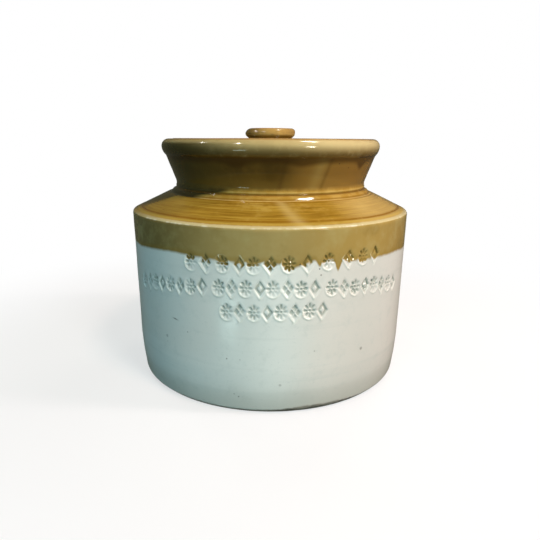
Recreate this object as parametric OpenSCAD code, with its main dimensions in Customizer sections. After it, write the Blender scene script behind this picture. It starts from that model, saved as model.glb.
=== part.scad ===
/* [Body] */
// Outside diameter of the wall under the shoulder's edge
body_d = 199.7; // [180:0.1:220]
// Height of the wall, from the foot up to the shoulder's edge
wall_h = 117.7; // [100:0.1:135]
// Thickness of the thrown wall
wall_t = 7.5; // [5:0.1:10]
// Thickness of the floor at the middle
floor_t = 9; // [6:0.1:14]
// Height of the heel, where the wall starts to draw in
heel_h = 28; // [18:0.1:40]
// How far the wall leans in from the shoulder down to the heel
wall_lean = 1.2; // [0.5:0.1:3]
// How far the wall draws in from the heel down to the foot bevel
heel_draw = 2.4; // [1:0.1:4]
// How far the heel bows outside a straight line
heel_bow = 0.4; // [0:0.1:1]
// Rounding inside, where the wall meets the floor
corner_round = 14; // [6:0.5:20]

/* [Foot] */
// Width of the bevel that is turned round the foot
bevel_w = 2.8; // [1.5:0.1:5]
// Height of the bevel that is turned round the foot
bevel_h = 2.6; // [2:0.1:7]
// Width of the ring that the jar stands on
stand_w = 12; // [7:0.5:20]
// Depth of the turned hollow under the base
hollow_depth = 1.2; // [0.5:0.1:2.5]

/* [Shoulder] */
// Rise of the shoulder, from its edge up to the collar
shoulder_rise = 11.5; // [8:0.1:18]
// Rounding of the shoulder's edge
edge_round = 3; // [1.5:0.1:5]
// How far the middle of the shoulder bulges above a straight cone
shoulder_crown = 0.2; // [0.1:0.1:1.5]
// Number of throwing rings on the shoulder
ring_count = 8; // [4:1:12]
// Height of one throwing ring
ring_h = 0.2; // [0.1:0.05:0.5]

/* [Neck] */
// Width of the collar, from the neck out to the shoulder
collar_w = 6.9; // [5:0.1:9]
// Rise of the collar from the shoulder to the cove at the foot of the neck
collar_rise = 2.6; // [1.5:0.1:4]
// Width of the cove, where the collar curves up into the neck
cove_w = 1.3; // [0.8:0.1:2]
// Height of the cove
cove_h = 2.5; // [1.5:0.1:3.5]
// Number of turned steps on the collar
collar_steps = 2; // [1:1:4]
// Height of one turned step on the collar
step_h = 0.45; // [0.2:0.05:0.6]
// Diameter of the neck at its waist
neck_d = 137.2; // [130:0.1:140]
// Height of the neck's waist above the collar
waist_rise = 8.4; // [7:0.1:11]
// Height of the crease under the rim band above the collar
neck_h = 27; // [22:0.1:36]
// How far the neck flares out, from its waist up to the crease under the rim band
neck_flare = 7; // [4:0.1:10]

/* [Rim] */
// How far the rim band stands out past the crease
rim_stand = 2.5; // [1.5:0.1:5]
// Height of the rim band
rim_h = 10.8; // [8:0.1:14]
// Depth of the crease under the rim band
crease_depth = 0.5; // [0.3:0.1:1.2]
// Height above the crease at which the rim band is widest
belly_rise = 6; // [4.5:0.1:7]
// Width of the slope that takes off the rim's upper outer edge
rim_slope_w = 2.6; // [1.5:0.1:4]
// Height of the slope that takes off the rim's upper outer edge
rim_slope_h = 1.9; // [1:0.1:2.8]
// Rounding of both corners of that slope
rim_round = 3; // [1.5:0.1:4]
// Rounding of the rim's inner edge
lip_round = 2.2; // [1:0.1:3]
// Depth of the lid's seat below the top of the rim
seat_depth = 13; // [10:0.1:16]
// Width of the ledge that carries the lid
seat_w = 7.5; // [5:0.1:9]

/* [Lid] */
// Thickness of the lid's plate at its edge
plate_t = 7.5; // [5:0.1:9]
// Gap all round between the plate and the rim
lid_gap = 1; // [0.5:0.1:2]
// Rounding of the plate's upper edge
plate_round = 1.8; // [0.8:0.1:2.5]
// Depth of the hollow turned in the underside of the plate
dish_depth = 1.6; // [0.5:0.1:3]
// Distance from the throat in to the edge of that hollow
dish_margin = 4; // [2:0.5:10]
// Depth of the groove turned round the knob's pad
groove_depth = 0.8; // [0.3:0.1:1.5]

/* [Knob] */
// Diameter of the knob at its nose
knob_d = 36; // [30:0.1:44]
// Diameter of the knob at its waist
knob_waist_d = 28.6; // [20:0.1:29]
// Diameter of the knob's base, where it is luted to the plate
knob_base_d = 31.6; // [30:0.1:36]
// Height of the knob above the plate
knob_h = 12.6; // [11:0.1:18]
// Height of the knob's nose below its top
nose_drop = 3; // [2.5:0.1:5]
// Height of the knob's nose, where its side stands upright
nose_h = 2; // [1:0.1:2.5]
// Rounding above and below the knob's nose
nose_round = 2.2; // [1:0.1:3]
// Width of the slope that takes off the edge of the knob's top
top_slope_w = 3.6; // [2:0.1:5]
// Rounding between that slope and the knob's top
top_round = 4; // [2:0.5:8]
// How far the knob's top domes above its edge
top_dome = 0.1; // [0.1:0.1:0.8]
// Height of the knob's waist above the plate
waist_h = 2.4; // [1.5:0.1:4]

/* [Hidden] */
$fn = 180;

// Straight pieces in each rounded corner
ARC_STEPS = 8;
// Points in each throwing ring
RING_STEPS = 6;
// Distance between the finger marks inside the wall
INSIDE_RING_GAP = 9;
// Depth of the finger marks inside the wall
INSIDE_RING_DEPTH = 0.5;
// Rounding of small turned edges
SMALL_ROUND = 0.8;
// Largest share of a side that one rounded corner may use
ROUND_SHARE = 0.48;

body_r = body_d / 2;
heel_r = body_r - wall_lean;
bevel_r = heel_r - heel_draw;
foot_r = bevel_r - bevel_w;
stand_r = foot_r - stand_w;
neck_r = neck_d / 2;
collar_r = neck_r + collar_w;
crease_r = neck_r + neck_flare;
rim_r = crease_r + rim_stand;
throat_r = neck_r - wall_t;
gallery_r = throat_r + seat_w;
plate_r = gallery_r - lid_gap;
dish_r = throat_r - dish_margin;

collar_z = wall_h + shoulder_rise;
neck_foot_z = collar_z + collar_rise;
waist_z = collar_z + waist_rise;
crease_z = collar_z + neck_h;
rim_z = crease_z + rim_h;
seat_z = rim_z - seat_depth;
plate_z = seat_z + plate_t;
knob_top_z = plate_z + knob_h;
nose_z = knob_top_z - nose_drop;
inside_top_r = body_r - wall_t;
inside_heel_r = heel_r - wall_t;
inside_floor_r = bevel_r - wall_t;

// Colours of the cream glaze on the wall, and of the ochre glaze on the lid
CREAM = [0.78, 0.82, 0.78];
OCHRE = [0.70, 0.51, 0.23];

// Arc of radius r that rounds the corner b between a and c
function corner_arc(a, b, c, r) =
    let (
        to_a = (a - b) / norm(a - b),
        to_c = (c - b) / norm(c - b),
        half = acos(min(1, max(-1, to_a * to_c))) / 2,
        room = ROUND_SHARE * min(norm(a - b), norm(c - b)),
        cut = min(r / tan(half), room),
        radius = cut * tan(half),
        middle = (to_a + to_c) / norm(to_a + to_c),
        centre = b + middle * radius / sin(half),
        from = b + to_a * cut - centre,
        side = sign(from[1] * to_a[0] - from[0] * to_a[1]),
        sweep = side * (180 - 2 * half)
    )
    [for (k = [0:ARC_STEPS])
        let (turn = sweep * k / ARC_STEPS)
        centre + [
            from[0] * cos(turn) - from[1] * sin(turn),
            from[0] * sin(turn) + from[1] * cos(turn)
        ]
    ];

// Outline through corners [radius, height, rounding], with each rounding as an arc
function rounded(path) =
    let (last = len(path) - 1)
    [for (k = [0:last])
        let (here = [path[k][0], path[k][1]])
        each (
            k == 0 || k == last || path[k][2] == 0
            ? [here]
            : corner_arc(
                [path[k - 1][0], path[k - 1][1]], here,
                [path[k + 1][0], path[k + 1][1]], path[k][2]
            )
        )
    ];

// Point at a share of the way from a to b
function between(a, b, share) = a + (b - a) * share;

// Line a to b with rounded rings that stand out by height h, and a bulge of crown at its middle
function ringed(a, b, rings, h, crown) =
    let (
        along = (b - a) / norm(b - a),
        out = [along[1], -along[0]],
        steps = rings * RING_STEPS
    )
    [for (k = [1:steps - 1])
        let (
            share = k / steps,
            ring = h * (1 - cos(360 * share * rings)) / 2,
            bulge = crown * 4 * share * (1 - share)
        )
        between(a, b, share) + out * (ring + bulge)
    ];

// Turned steps from the collar's edge in towards the neck
function collar_path(from, to) =
    [for (k = [0:collar_steps - 1])
        let (
            start = between(from, to, k / collar_steps),
            crest = between(from, to, (k + 0.3) / collar_steps),
            valley = between(from, to, (k + 0.8) / collar_steps)
        )
        each [
            [start[0], start[1], 0],
            [crest[0], crest[1] + step_h, SMALL_ROUND],
            [valley[0], valley[1] - step_h / 4, SMALL_ROUND]
        ]
    ];

// Underside and wall, from the axis out to the shoulder's edge
function foot_and_wall() = rounded([
    [0, hollow_depth, 0],
    [stand_r - hollow_depth, hollow_depth, SMALL_ROUND],
    [stand_r, 0, SMALL_ROUND],
    [foot_r, 0, SMALL_ROUND],
    [bevel_r, bevel_h, bevel_h],
    [(bevel_r + heel_r) / 2 + heel_bow, (bevel_h + heel_h) / 2, heel_h],
    [heel_r, heel_h, heel_h],
    [body_r, wall_h, edge_round],
    [collar_r, collar_z, 0]
]);

// Where the rounded edge ends and the rings of the shoulder begin
function shoulder_start() =
    let (path = foot_and_wall())
    path[len(path) - 2];

function shoulder() =
    ringed(shoulder_start(), [collar_r, collar_z], ring_count, ring_h, shoulder_crown);

// Collar, neck, rim band and gallery, down to the inside of the throat
function neck_and_rim() =
    let (collar_end = [collar_r - collar_w / 2, neck_foot_z - collar_rise / 2])
    rounded(concat(
        collar_path([collar_r, collar_z], collar_end),
        [
            [collar_end[0], collar_end[1], 0],
            [neck_r + cove_w, neck_foot_z, cove_h],
            [neck_r, neck_foot_z + cove_h, cove_h],
            [neck_r, waist_z, 18],
            [crease_r, crease_z, SMALL_ROUND],
            [crease_r + crease_depth, crease_z + crease_depth, 1.4],
            [rim_r, crease_z + belly_rise, belly_rise],
            [rim_r, rim_z - rim_slope_h, rim_round],
            [rim_r - rim_slope_w, rim_z, rim_round],
            [gallery_r, rim_z, lip_round],
            [gallery_r, seat_z, SMALL_ROUND],
            [throat_r, seat_z, SMALL_ROUND]
        ],
        [[throat_r, inside_shoulder_z(throat_r), 0]]
    ));

// Height of the shoulder's underside, one wall thickness in from the outside, at radius r
function inside_shoulder_z(r) =
    let (
        run = body_r - collar_r,
        slope = shoulder_rise / run,
        drop = wall_t * norm([run, shoulder_rise]) / run
    )
    wall_h + (body_r - r) * slope - drop;

// Inside of the jar, from the throat down the finger-marked wall to the axis
function inside() =
    let (
        wall_top = [inside_top_r, inside_shoulder_z(inside_top_r)],
        heel = [inside_heel_r, heel_h],
        path = rounded([
            [throat_r, seat_z, 0],
            [throat_r, inside_shoulder_z(throat_r), wall_t],
            [wall_top[0], wall_top[1], wall_t],
            [heel[0], heel[1], 0],
            [inside_floor_r, floor_t, corner_round],
            [0, floor_t, 0]
        ]),
        after_shoulder = 2 * (ARC_STEPS + 1),
        marks_from = path[after_shoulder],
        marks = max(3, floor((marks_from[1] - heel[1]) / INSIDE_RING_GAP))
    )
    concat(
        [for (k = [1:after_shoulder]) path[k]],
        ringed(marks_from, heel, marks, INSIDE_RING_DEPTH, 0),
        [for (k = [after_shoulder + 1:len(path) - 1]) path[k]]
    );

// The outline of foot and wall without its last corner, which the collar starts with
function foot_and_wall_open() =
    let (path = foot_and_wall())
    [for (k = [0:len(path) - 2]) path[k]];

// The outline of neck and rim without its last corner, which the inside starts with
function neck_without_end() =
    let (path = neck_and_rim())
    [for (k = [0:len(path) - 2]) path[k]];

// The thrown jar: foot, wall, shoulder, neck and rolled rim, with a gallery inside for the lid
module jar_body() {
    color(CREAM)
    rotate_extrude()
    polygon(concat(foot_and_wall_open(), shoulder(), neck_without_end(), inside()));
}

// The inset plate of the lid, hollowed underneath and grooved round the knob's pad
module lid_plate() {
    pad_r = knob_base_d / 2 + SMALL_ROUND;
    groove_w = 2 * groove_depth;
    color(OCHRE)
    rotate_extrude()
    polygon(rounded([
        [0, seat_z + dish_depth, 0],
        [dish_r - dish_depth, seat_z + dish_depth, SMALL_ROUND],
        [dish_r, seat_z, SMALL_ROUND],
        [plate_r, seat_z, SMALL_ROUND],
        [plate_r, plate_z, plate_round],
        [pad_r + 2 * groove_w, plate_z, SMALL_ROUND],
        [pad_r + groove_w, plate_z - groove_depth, SMALL_ROUND],
        [pad_r, plate_z, 0],
        [0, plate_z, 0]
    ]));
}

// The button knob, luted to the middle of the plate
module lid_knob() {
    color(OCHRE)
    rotate_extrude()
    polygon(rounded([
        [0, plate_z, 0],
        [knob_base_d / 2, plate_z, 0],
        [knob_waist_d / 2, plate_z + waist_h, waist_h],
        [knob_d / 2, nose_z - nose_h / 2, nose_round],
        [knob_d / 2, nose_z + nose_h / 2, nose_round],
        [knob_d / 2 - top_slope_w, knob_top_z - top_dome, top_round],
        [0, knob_top_z, 0]
    ]));
}

jar_body();
lid_plate();
lid_knob();
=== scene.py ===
# %% [markdown]
# A lidded stoneware jar. The real one was thrown on a wheel, dipped in two glazes and fired. The
# frame gives three solids of the right size: the jar, the plate of the lid and the knob. Each is
# replaced by a lathe form that adds what hand and kiln left: throwing rings, pressed ornaments, a
# glaze that runs, pits and specks.

# %% Load the frame
import math
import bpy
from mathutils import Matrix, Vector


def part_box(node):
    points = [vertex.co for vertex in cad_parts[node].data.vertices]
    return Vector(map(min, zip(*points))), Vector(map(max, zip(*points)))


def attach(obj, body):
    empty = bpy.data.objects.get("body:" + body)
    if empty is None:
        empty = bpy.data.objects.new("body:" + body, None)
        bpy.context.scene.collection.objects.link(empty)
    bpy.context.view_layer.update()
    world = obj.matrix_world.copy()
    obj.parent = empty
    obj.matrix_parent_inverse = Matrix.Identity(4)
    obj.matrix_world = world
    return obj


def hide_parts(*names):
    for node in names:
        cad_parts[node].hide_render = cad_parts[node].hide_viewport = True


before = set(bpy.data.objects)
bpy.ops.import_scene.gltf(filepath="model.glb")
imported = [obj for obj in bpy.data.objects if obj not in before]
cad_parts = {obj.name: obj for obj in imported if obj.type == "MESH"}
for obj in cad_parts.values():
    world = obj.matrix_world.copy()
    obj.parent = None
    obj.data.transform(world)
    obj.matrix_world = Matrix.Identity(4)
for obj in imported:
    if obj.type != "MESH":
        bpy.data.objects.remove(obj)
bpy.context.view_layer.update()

from types import SimpleNamespace

import bpy
import numpy as np
from mathutils import Quaternion, Vector, noise

# %% [markdown]
# Sizes first, as numbers of MM, which are easier to read than metres. The main ones come from the
# frame's own boxes, and the small ones from the photograph.

# %% Sizes of the jar
MM = 0.001
_, jar_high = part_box("jar_body")
plate_low, plate_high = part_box("lid_plate")
_, knob_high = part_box("lid_knob")

# The wall, from the edge of the shoulder down to the standing ring and its hollow.
BODY_R, EDGE_Z = jar_high.x, 117.7 * MM
HEEL_R, HEEL_Z = BODY_R - 1.2 * MM, 28 * MM
BEVEL_R, BEVEL_Z = HEEL_R - 2.4 * MM, 2.6 * MM
FOOT_R = BEVEL_R - 2.8 * MM
STAND_R = FOOT_R - 12 * MM
HOLLOW = 1.2 * MM
# The collar with its turned line, the neck with the ridge at its foot, and the rolled rim.
NECK_R = 68.6 * MM
COLLAR_R, COLLAR_Z = NECK_R + 6.9 * MM, EDGE_Z + 11.5 * MM
LINE_R, LINE_Z = COLLAR_R - 2.3 * MM, COLLAR_Z + 0.85 * MM
NECK_FOOT_Z, WAIST_Z = COLLAR_Z + 2.6 * MM, COLLAR_Z + 8.4 * MM
RIDGE_Z = NECK_FOOT_Z + 2.8 * MM
CREASE_R, CREASE_Z = NECK_R + 6.7 * MM, COLLAR_Z + 26.2 * MM
RIM_R, RIM_TOP = NECK_R + 9.5 * MM, jar_high.z
RIM_ROLL, RIM_BELLY = 5 * MM, 9.2 * MM
# The inside: the throat, the gallery that takes the lid, and the floor.
WALL_T = 7.5 * MM
THROAT_R = NECK_R - WALL_T
GALLERY_R = THROAT_R + 7.5 * MM
SEAT_Z, FLOOR_Z = plate_low.z, 9 * MM
print("jar", round(2 * BODY_R / MM, 1), "mm wide,", round(RIM_TOP / MM, 1), "mm to the rim")

# %% [markdown]
# A pot is a solid of revolution, so it starts as half of its outline. These helpers turn a few
# corners, each with its own rounding, into a smooth line with points as close as the form needs.


# %% Outline helpers
def corner_arc(before, corner, after, radius, steps):
    """The points of an arc of that radius, fitted into a corner."""
    to_before = (before - corner).normalized()
    to_after = (after - corner).normalized()
    half = to_before.angle(to_after) / 2
    room = 0.48 * min((before - corner).length, (after - corner).length)
    cut = min(radius / math.tan(half), room)
    arc_r = cut * math.tan(half)
    centre = corner + (to_before + to_after).normalized() * arc_r / math.sin(half)
    start = corner + to_before * cut - centre
    end = corner + to_after * cut - centre
    turn = start.angle(end)
    points = []
    for k in range(steps + 1):
        share = k / steps
        first, last = math.sin((1 - share) * turn), math.sin(share * turn)
        points.append(centre + (start * first + end * last) / math.sin(turn))
    return points


def rounded(corners):
    """A line through corners of (radius, height, rounding in mm)."""
    line = []
    for k, (r, z, rounding) in enumerate(corners):
        here = Vector((r, z))
        if rounding == 0 or k in (0, len(corners) - 1):
            line.append(here)
            continue
        before, after = Vector(corners[k - 1][:2]), Vector(corners[k + 1][:2])
        line += corner_arc(before, here, after, rounding * MM, 3 if rounding < 1 else 6)
    return line


def roll(centre, radius, first_deg, last_deg, steps):
    """An arc given by its centre and by the angles of its ends, 0 being outwards and 90 upwards."""
    turns = [math.radians(first_deg + (last_deg - first_deg) * k / steps) for k in range(steps + 1)]
    return [centre + radius * Vector((math.cos(turn), math.sin(turn))) for turn in turns]


def filled(line, gap):
    """The same line with no stretch longer than gap."""
    dense = [line[0]]
    for here, there in zip(line, line[1:]):
        pieces = max(1, math.ceil((there - here).length / gap))
        dense += [here.lerp(there, k / pieces) for k in range(1, pieces + 1)]
    return dense


# %% [markdown]
# The lathe. One vertex is drawn out along the outline and spun round the axis, as a potter turns a
# profile. The first and last turns meet, so doubles are merged before the normals are set right.

# %% Lathe
TURN_STEPS = 240


def deselect():
    """Leaves nothing selected, the frame's own nodes included."""
    bpy.ops.object.select_all(action="DESELECT")


def edit(obj, kind):
    """Opens a piece in edit mode, alone, to select its VERT, EDGE or FACE elements."""
    deselect()
    bpy.context.view_layer.objects.active = obj
    obj.select_set(True)
    bpy.context.tool_settings.mesh_select_mode = [kind == mode for mode in ("VERT", "EDGE", "FACE")]
    bpy.ops.object.mode_set(mode="EDIT")


def lathe(name, outline, steps=TURN_STEPS):
    """Spins an outline of (radius, height) points into a closed piece."""
    deselect()
    bpy.ops.mesh.primitive_plane_add(size=MM, location=(outline[0].x, 0, outline[0].y))
    obj = bpy.context.object
    obj.name = name
    bpy.ops.object.transform_apply(location=True, rotation=True, scale=True)
    edit(obj, "VERT")
    bpy.ops.mesh.select_all(action="SELECT")
    bpy.ops.mesh.merge(type="CENTER")
    for here, there in zip(outline, outline[1:]):
        step = (there.x - here.x, 0, there.y - here.y)
        bpy.ops.mesh.extrude_vertices_move(TRANSFORM_OT_translate={"value": step})
    bpy.ops.mesh.select_all(action="SELECT")
    bpy.ops.mesh.spin(steps=steps, angle=2 * math.pi, center=(0, 0, 0), axis=(0, 0, 1))
    bpy.ops.mesh.select_all(action="SELECT")
    bpy.ops.mesh.remove_doubles(threshold=0.01 * MM)
    bpy.ops.mesh.normals_make_consistent(inside=False)
    bpy.ops.mesh.select_all(action="DESELECT")
    bpy.ops.object.mode_set(mode="OBJECT")
    bpy.ops.object.shade_smooth_by_angle(angle=math.radians(50))
    print(name, "has", len(obj.data.polygons), "faces")
    return obj


# %% [markdown]
# The outline runs from under the foot, up the wall, over the shoulder and the rim, and back down
# inside to the floor. The shoulder's edge is the crispest line on the pot, and the collar has two
# turned steps.


# %% Outline of the jar
def inside_shoulder_z(r):
    """Height of the shoulder's underside at a radius, one wall thickness in."""
    run, rise = BODY_R - COLLAR_R, COLLAR_Z - EDGE_Z
    return EDGE_Z + (BODY_R - r) * rise / run - WALL_T * math.hypot(run, rise) / run


def foot_outline():
    heel_mid = ((BEVEL_R + HEEL_R) / 2 + 0.4 * MM, (BEVEL_Z + HEEL_Z) / 2, HEEL_Z / MM)
    return rounded([
        (0, HOLLOW, 0), (STAND_R - HOLLOW, HOLLOW, 0.8), (STAND_R, 0, 0.6),
        (FOOT_R, 0, 0.7), (BEVEL_R, BEVEL_Z, 2.6), heel_mid, (HEEL_R, HEEL_Z, 0),
    ])


def edge_outline():
    return rounded([
        (HEEL_R, HEEL_Z, 0), (BODY_R, EDGE_Z, 2.0), (COLLAR_R, COLLAR_Z, 0),
    ])


def neck_outline():
    roll_z = RIM_TOP - RIM_ROLL
    belly = roll(Vector((RIM_R - RIM_BELLY, roll_z)), RIM_BELLY, -41, 0, 7)
    top = roll(Vector((RIM_R - RIM_ROLL, roll_z)), RIM_ROLL, 0, 90, 9)
    below_rim = rounded([
        (COLLAR_R, COLLAR_Z, 0), (LINE_R, LINE_Z, 0.35),
        (LINE_R - 0.6 * MM, LINE_Z + 0.1 * MM, 0.4),
        (NECK_R + 2.2 * MM, NECK_FOOT_Z + 0.35 * MM, 0.5),
        (NECK_R + 0.8 * MM, NECK_FOOT_Z + 1.0 * MM, 0.4),
        (NECK_R + 0.2 * MM, NECK_FOOT_Z + 1.5 * MM, 0.5),
        (NECK_R + 0.35 * MM, RIDGE_Z, 0.4),
        (NECK_R, NECK_FOOT_Z + 3.7 * MM, 0.6), (NECK_R, WAIST_Z, 16),
        (CREASE_R, CREASE_Z, 0.6), tuple(belly[0]) + (0,),
    ])
    above_rim = rounded([
        (RIM_R - RIM_ROLL, RIM_TOP, 0), (GALLERY_R, RIM_TOP, 2.2),
        (GALLERY_R, SEAT_Z, 0.6), (THROAT_R, SEAT_Z, 0.8),
        (THROAT_R, inside_shoulder_z(THROAT_R) + 9 * MM, 0),
    ])
    return below_rim[:-1] + belly[:-1] + top[:-1] + above_rim


def inside_outline():
    top_r = BODY_R - WALL_T
    return rounded([
        (THROAT_R, inside_shoulder_z(THROAT_R) + 9 * MM, 0),
        (THROAT_R, inside_shoulder_z(THROAT_R), 7),
        (top_r, inside_shoulder_z(top_r), 7),
        (HEEL_R - WALL_T, HEEL_Z, 20),
        (BEVEL_R - WALL_T, FLOOR_Z, 14),
        (0, FLOOR_Z, 0),
    ])


def jar_outline():
    stretches = [
        filled(foot_outline(), 6 * MM), filled(edge_outline()[:-1], 2.0 * MM),
        filled(edge_outline()[-2:], 0.55 * MM), filled(neck_outline(), 2.2 * MM),
        filled(inside_outline(), 12 * MM),
    ]
    line = stretches[0]
    for stretch in stretches[1:]:
        line = line + stretch[1:]
    return line


jar_line = jar_outline()
jar = lathe("jar_glazed", jar_line)

# %% [markdown]
# Molten glaze is drawn thin over every edge and gathers in every hollow, so its tone follows the
# bend of the surface. The bend is read from the outline, spread over about a millimetre, and kept
# as an attribute called crest, which is positive where the form stands proud.


# %% Edges and hollows
def crest_along(line, spread=0.9):
    """How sharply the outline bends at each of its points, in radians to the millimetre."""
    flat = np.array([[p.x / MM, p.y / MM] for p in line])
    steps = np.diff(flat, axis=0)
    way = np.concatenate([[0], np.cumsum(np.hypot(steps[:, 0], steps[:, 1]))])
    heading = np.unwrap(np.arctan2(steps[:, 1], steps[:, 0]))
    turn = np.concatenate([[0], np.diff(heading), [0]])
    nearness = np.exp(-((way[:, None] - way[None, :]) / spread) ** 2 / 2)
    return nearness @ turn / (spread * math.sqrt(2 * math.pi))


def vectors_of(items, name):
    values = np.empty(len(items) * 3)
    items.foreach_get(name, values)
    return values.reshape(-1, 3)


def read_points(obj):
    """The piece's points as an array, in metres."""
    return vectors_of(obj.data.vertices, "co")


def write_points(obj, points):
    obj.data.vertices.foreach_set("co", np.ascontiguousarray(points).ravel())
    obj.data.update()


def store(obj, name, values):
    """Keeps one number for each point, for the glaze to read."""
    layer = obj.data.attributes.new(name, "FLOAT", "POINT")
    layer.data.foreach_set("value", np.asarray(values, dtype=np.float32))


def store_crest(obj, line, block=4000):
    """Gives each point the bend of the outline point that it was spun from, block by block."""
    bend = crest_along(line)
    flat = np.array([[p.x, p.y] for p in line])
    points = read_points(obj)
    profile = np.column_stack([np.hypot(points[:, 0], points[:, 1]), points[:, 2]])
    nearest = np.empty(len(profile), dtype=int)
    for start in range(0, len(profile), block):
        away = profile[start:start + block, None, :] - flat[None, :, :]
        nearest[start:start + block] = (away ** 2).sum(axis=2).argmin(axis=1)
    store(obj, "crest", bend[nearest])


# %% [markdown]
# Ornaments were pressed into the wall while the clay was soft. They need a finer net than the
# rest, so only the faces under them are cut smaller. The new points lie on straight chords, so
# each is pushed back out to the true radius of the wall.

# %% Finer net under the ornaments
# Each row has a level in mm, its rise and its sag, and groups of (first angle, last angle, dies).
ROWS = [
    {"level": 97.0, "rise": 0.05, "sag": 0.0,
     "groups": [(-28, -10, 4), (-5.5, 12.5, 4), (20.4, 20.4, 1), (28.5, 40.5, 3)]},
    {"level": 82.6, "rise": 0.0, "sag": 7.6,
     "groups": [(-57, -24, 8), (-17.5, 15.5, 8), (22, 56, 8)]},
    {"level": 67.8, "rise": 0.03, "sag": 0.0, "groups": [(-15, 18.5, 8)]},
]
ROW_HALF, ROW_END_DEG, ROW_MARGIN_DEG = 7.0, 57, 3.5
WALL_LEAN = 4 * MM
NET_CUTS = 4


def row_height(row, angle):
    """The height of a row in millimetres; the potter's hand let it sag at its ends."""
    return row["level"] + row["rise"] * angle - row["sag"] * (angle / ROW_END_DEG) ** 2


def under_a_row(centre):
    """Whether a face lies under the dies; angles are 0 at the front and grow to the right."""
    if math.hypot(centre.x, centre.y) < BODY_R - WALL_LEAN:
        return False
    angle = math.degrees(math.atan2(centre.x, -centre.y))
    for row in ROWS:
        first, last = row["groups"][0][0], row["groups"][-1][1]
        near = first - ROW_MARGIN_DEG < angle < last + ROW_MARGIN_DEG
        if near and abs(centre.z / MM - row_height(row, angle)) < ROW_HALF:
            return True
    return False


for face in jar.data.polygons:
    face.select = under_a_row(face.center)
edit(jar, "FACE")
print(jar.data.total_face_sel, "faces lie under the ornaments")
bpy.ops.mesh.subdivide(number_cuts=NET_CUTS, smoothness=0)
bpy.ops.object.mode_set(mode="OBJECT")
points = read_points(jar)
radius = np.hypot(points[:, 0], points[:, 1])
height = points[:, 2]
on_wall = (radius > BODY_R - 3 * MM) & (height > HEEL_Z) & (height < EDGE_Z - 4 * MM)
wall_r = HEEL_R + (BODY_R - HEEL_R) * (height - HEEL_Z) / (EDGE_Z - HEEL_Z)
points[on_wall, :2] *= (wall_r[on_wall] / radius[on_wall])[:, None]
write_points(jar, points)
store_crest(jar, jar_line)
print("jar has", sum(len(face.vertices) - 2 for face in jar.data.polygons), "triangles")

# %% [markdown]
# The dies are plain old potter's ornaments: a lozenge with a raised heart, a daisy and a cross of
# four small lozenges. Each gives a field that is 1 where the die sank in, and the distance beyond
# its outline, where the clay rose in a burr. No two were pressed to the same depth. Their sizes
# are in millimetres.


# %% Ornament dies
def soft_step(distance, width=0.5):
    """1 inside a shape and 0 outside, with a soft wall; distances are in mm."""
    return np.clip(0.5 - distance / width, 0, 1)


def lozenge(u, v, a, b):
    return (np.abs(u) / a + np.abs(v) / b - 1) * a * b / math.hypot(a, b)


def lozenge_die(u, v):
    outer = soft_step(lozenge(u, v, 3.2, 4.7))
    heart = soft_step(lozenge(u, v, 1.5, 2.3))
    return np.clip(outer - heart, 0, 1), lozenge(u, v, 4.5, 6.1)


def daisy_die(u, v):
    field = soft_step(np.hypot(u, v) - 0.8)
    for k in range(8):
        turn = math.pi * k / 4
        along = u * math.sin(turn) + v * math.cos(turn) * 0.8
        across = u * math.cos(turn) - v * math.sin(turn) * 0.8
        petal = (np.hypot((along - 2.5) / 1.3, across / 0.68) - 1) * 0.68
        field = np.maximum(field, soft_step(petal))
    return field, (np.hypot(u / 0.84, v) - 5.2) * 0.84


def cross_die(u, v):
    field = np.zeros_like(u)
    for du, dv in ((1.9, 0), (-1.9, 0), (0, 2.7), (0, -2.7)):
        field = np.maximum(field, soft_step(lozenge(u - du, v - dv, 1.5, 2.1)))
    return field, lozenge(u, v, 5.0, 6.5)


DIES = [lozenge_die, daisy_die, cross_die, daisy_die]
PRESS_DEPTH, BURR, BED = 0.7 * MM, 0.3 * MM, 0.1 * MM
HALF_W, HALF_H = 3.9, 5.4
REACH_DEG = 5
PRESS_SEED = 11


def die_places():
    """Each die's row and its angle round the jar, from left to right."""
    for row in ROWS:
        for first, last, dies in row["groups"]:
            for centre in np.linspace(first, last, dies):
                yield row, centre


def press(points, angle_deg):
    """How far each point of the wall moves outwards for the pressed ornaments, in metres."""
    moved = np.zeros(len(points))
    rng = np.random.default_rng(PRESS_SEED)
    on_wall = np.hypot(points[:, 0], points[:, 1]) > BODY_R - WALL_LEAN
    for count, (row, centre) in enumerate(die_places(), start=1):
        centre += rng.uniform(-0.25, 0.25)
        level = row_height(row, centre) + rng.uniform(-0.4, 0.4)
        tilt = math.radians(rng.uniform(-3.5, 3.5))
        depth = rng.uniform(0.65, 1.1)
        lean_u, lean_v = rng.uniform(-0.1, 0.1), rng.uniform(-0.03, 0.09)
        side = rng.uniform(-0.9, 0.4)
        near = on_wall & (np.abs(angle_deg - centre) < REACH_DEG)
        near &= np.abs(points[:, 2] / MM - level) < ROW_HALF
        u0 = np.radians(angle_deg[near] - centre) * BODY_R / MM
        v0 = points[near, 2] / MM - level
        u = u0 * math.cos(tilt) + v0 * math.sin(tilt)
        v = -u0 * math.sin(tilt) + v0 * math.cos(tilt)
        die, beyond = DIES[count % len(DIES)](u, v)
        uneven = np.clip(1 + lean_u * u * 2 + lean_v * v * 2, 0.15, 1.7)
        burr = np.exp(-((beyond - 0.1) / 0.5) ** 2)
        burr_side = np.clip(0.35 - 0.7 * v / HALF_H + side * u / HALF_W, 0.05, 1.2)
        moved[near] -= BED * soft_step(beyond, 1.0) * uneven
        moved[near] += BURR * burr * burr_side
        moved[near] -= PRESS_DEPTH * die * depth * uneven
    return moved


print(len(list(die_places())), "ornaments in", len(ROWS), "rows")

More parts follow.
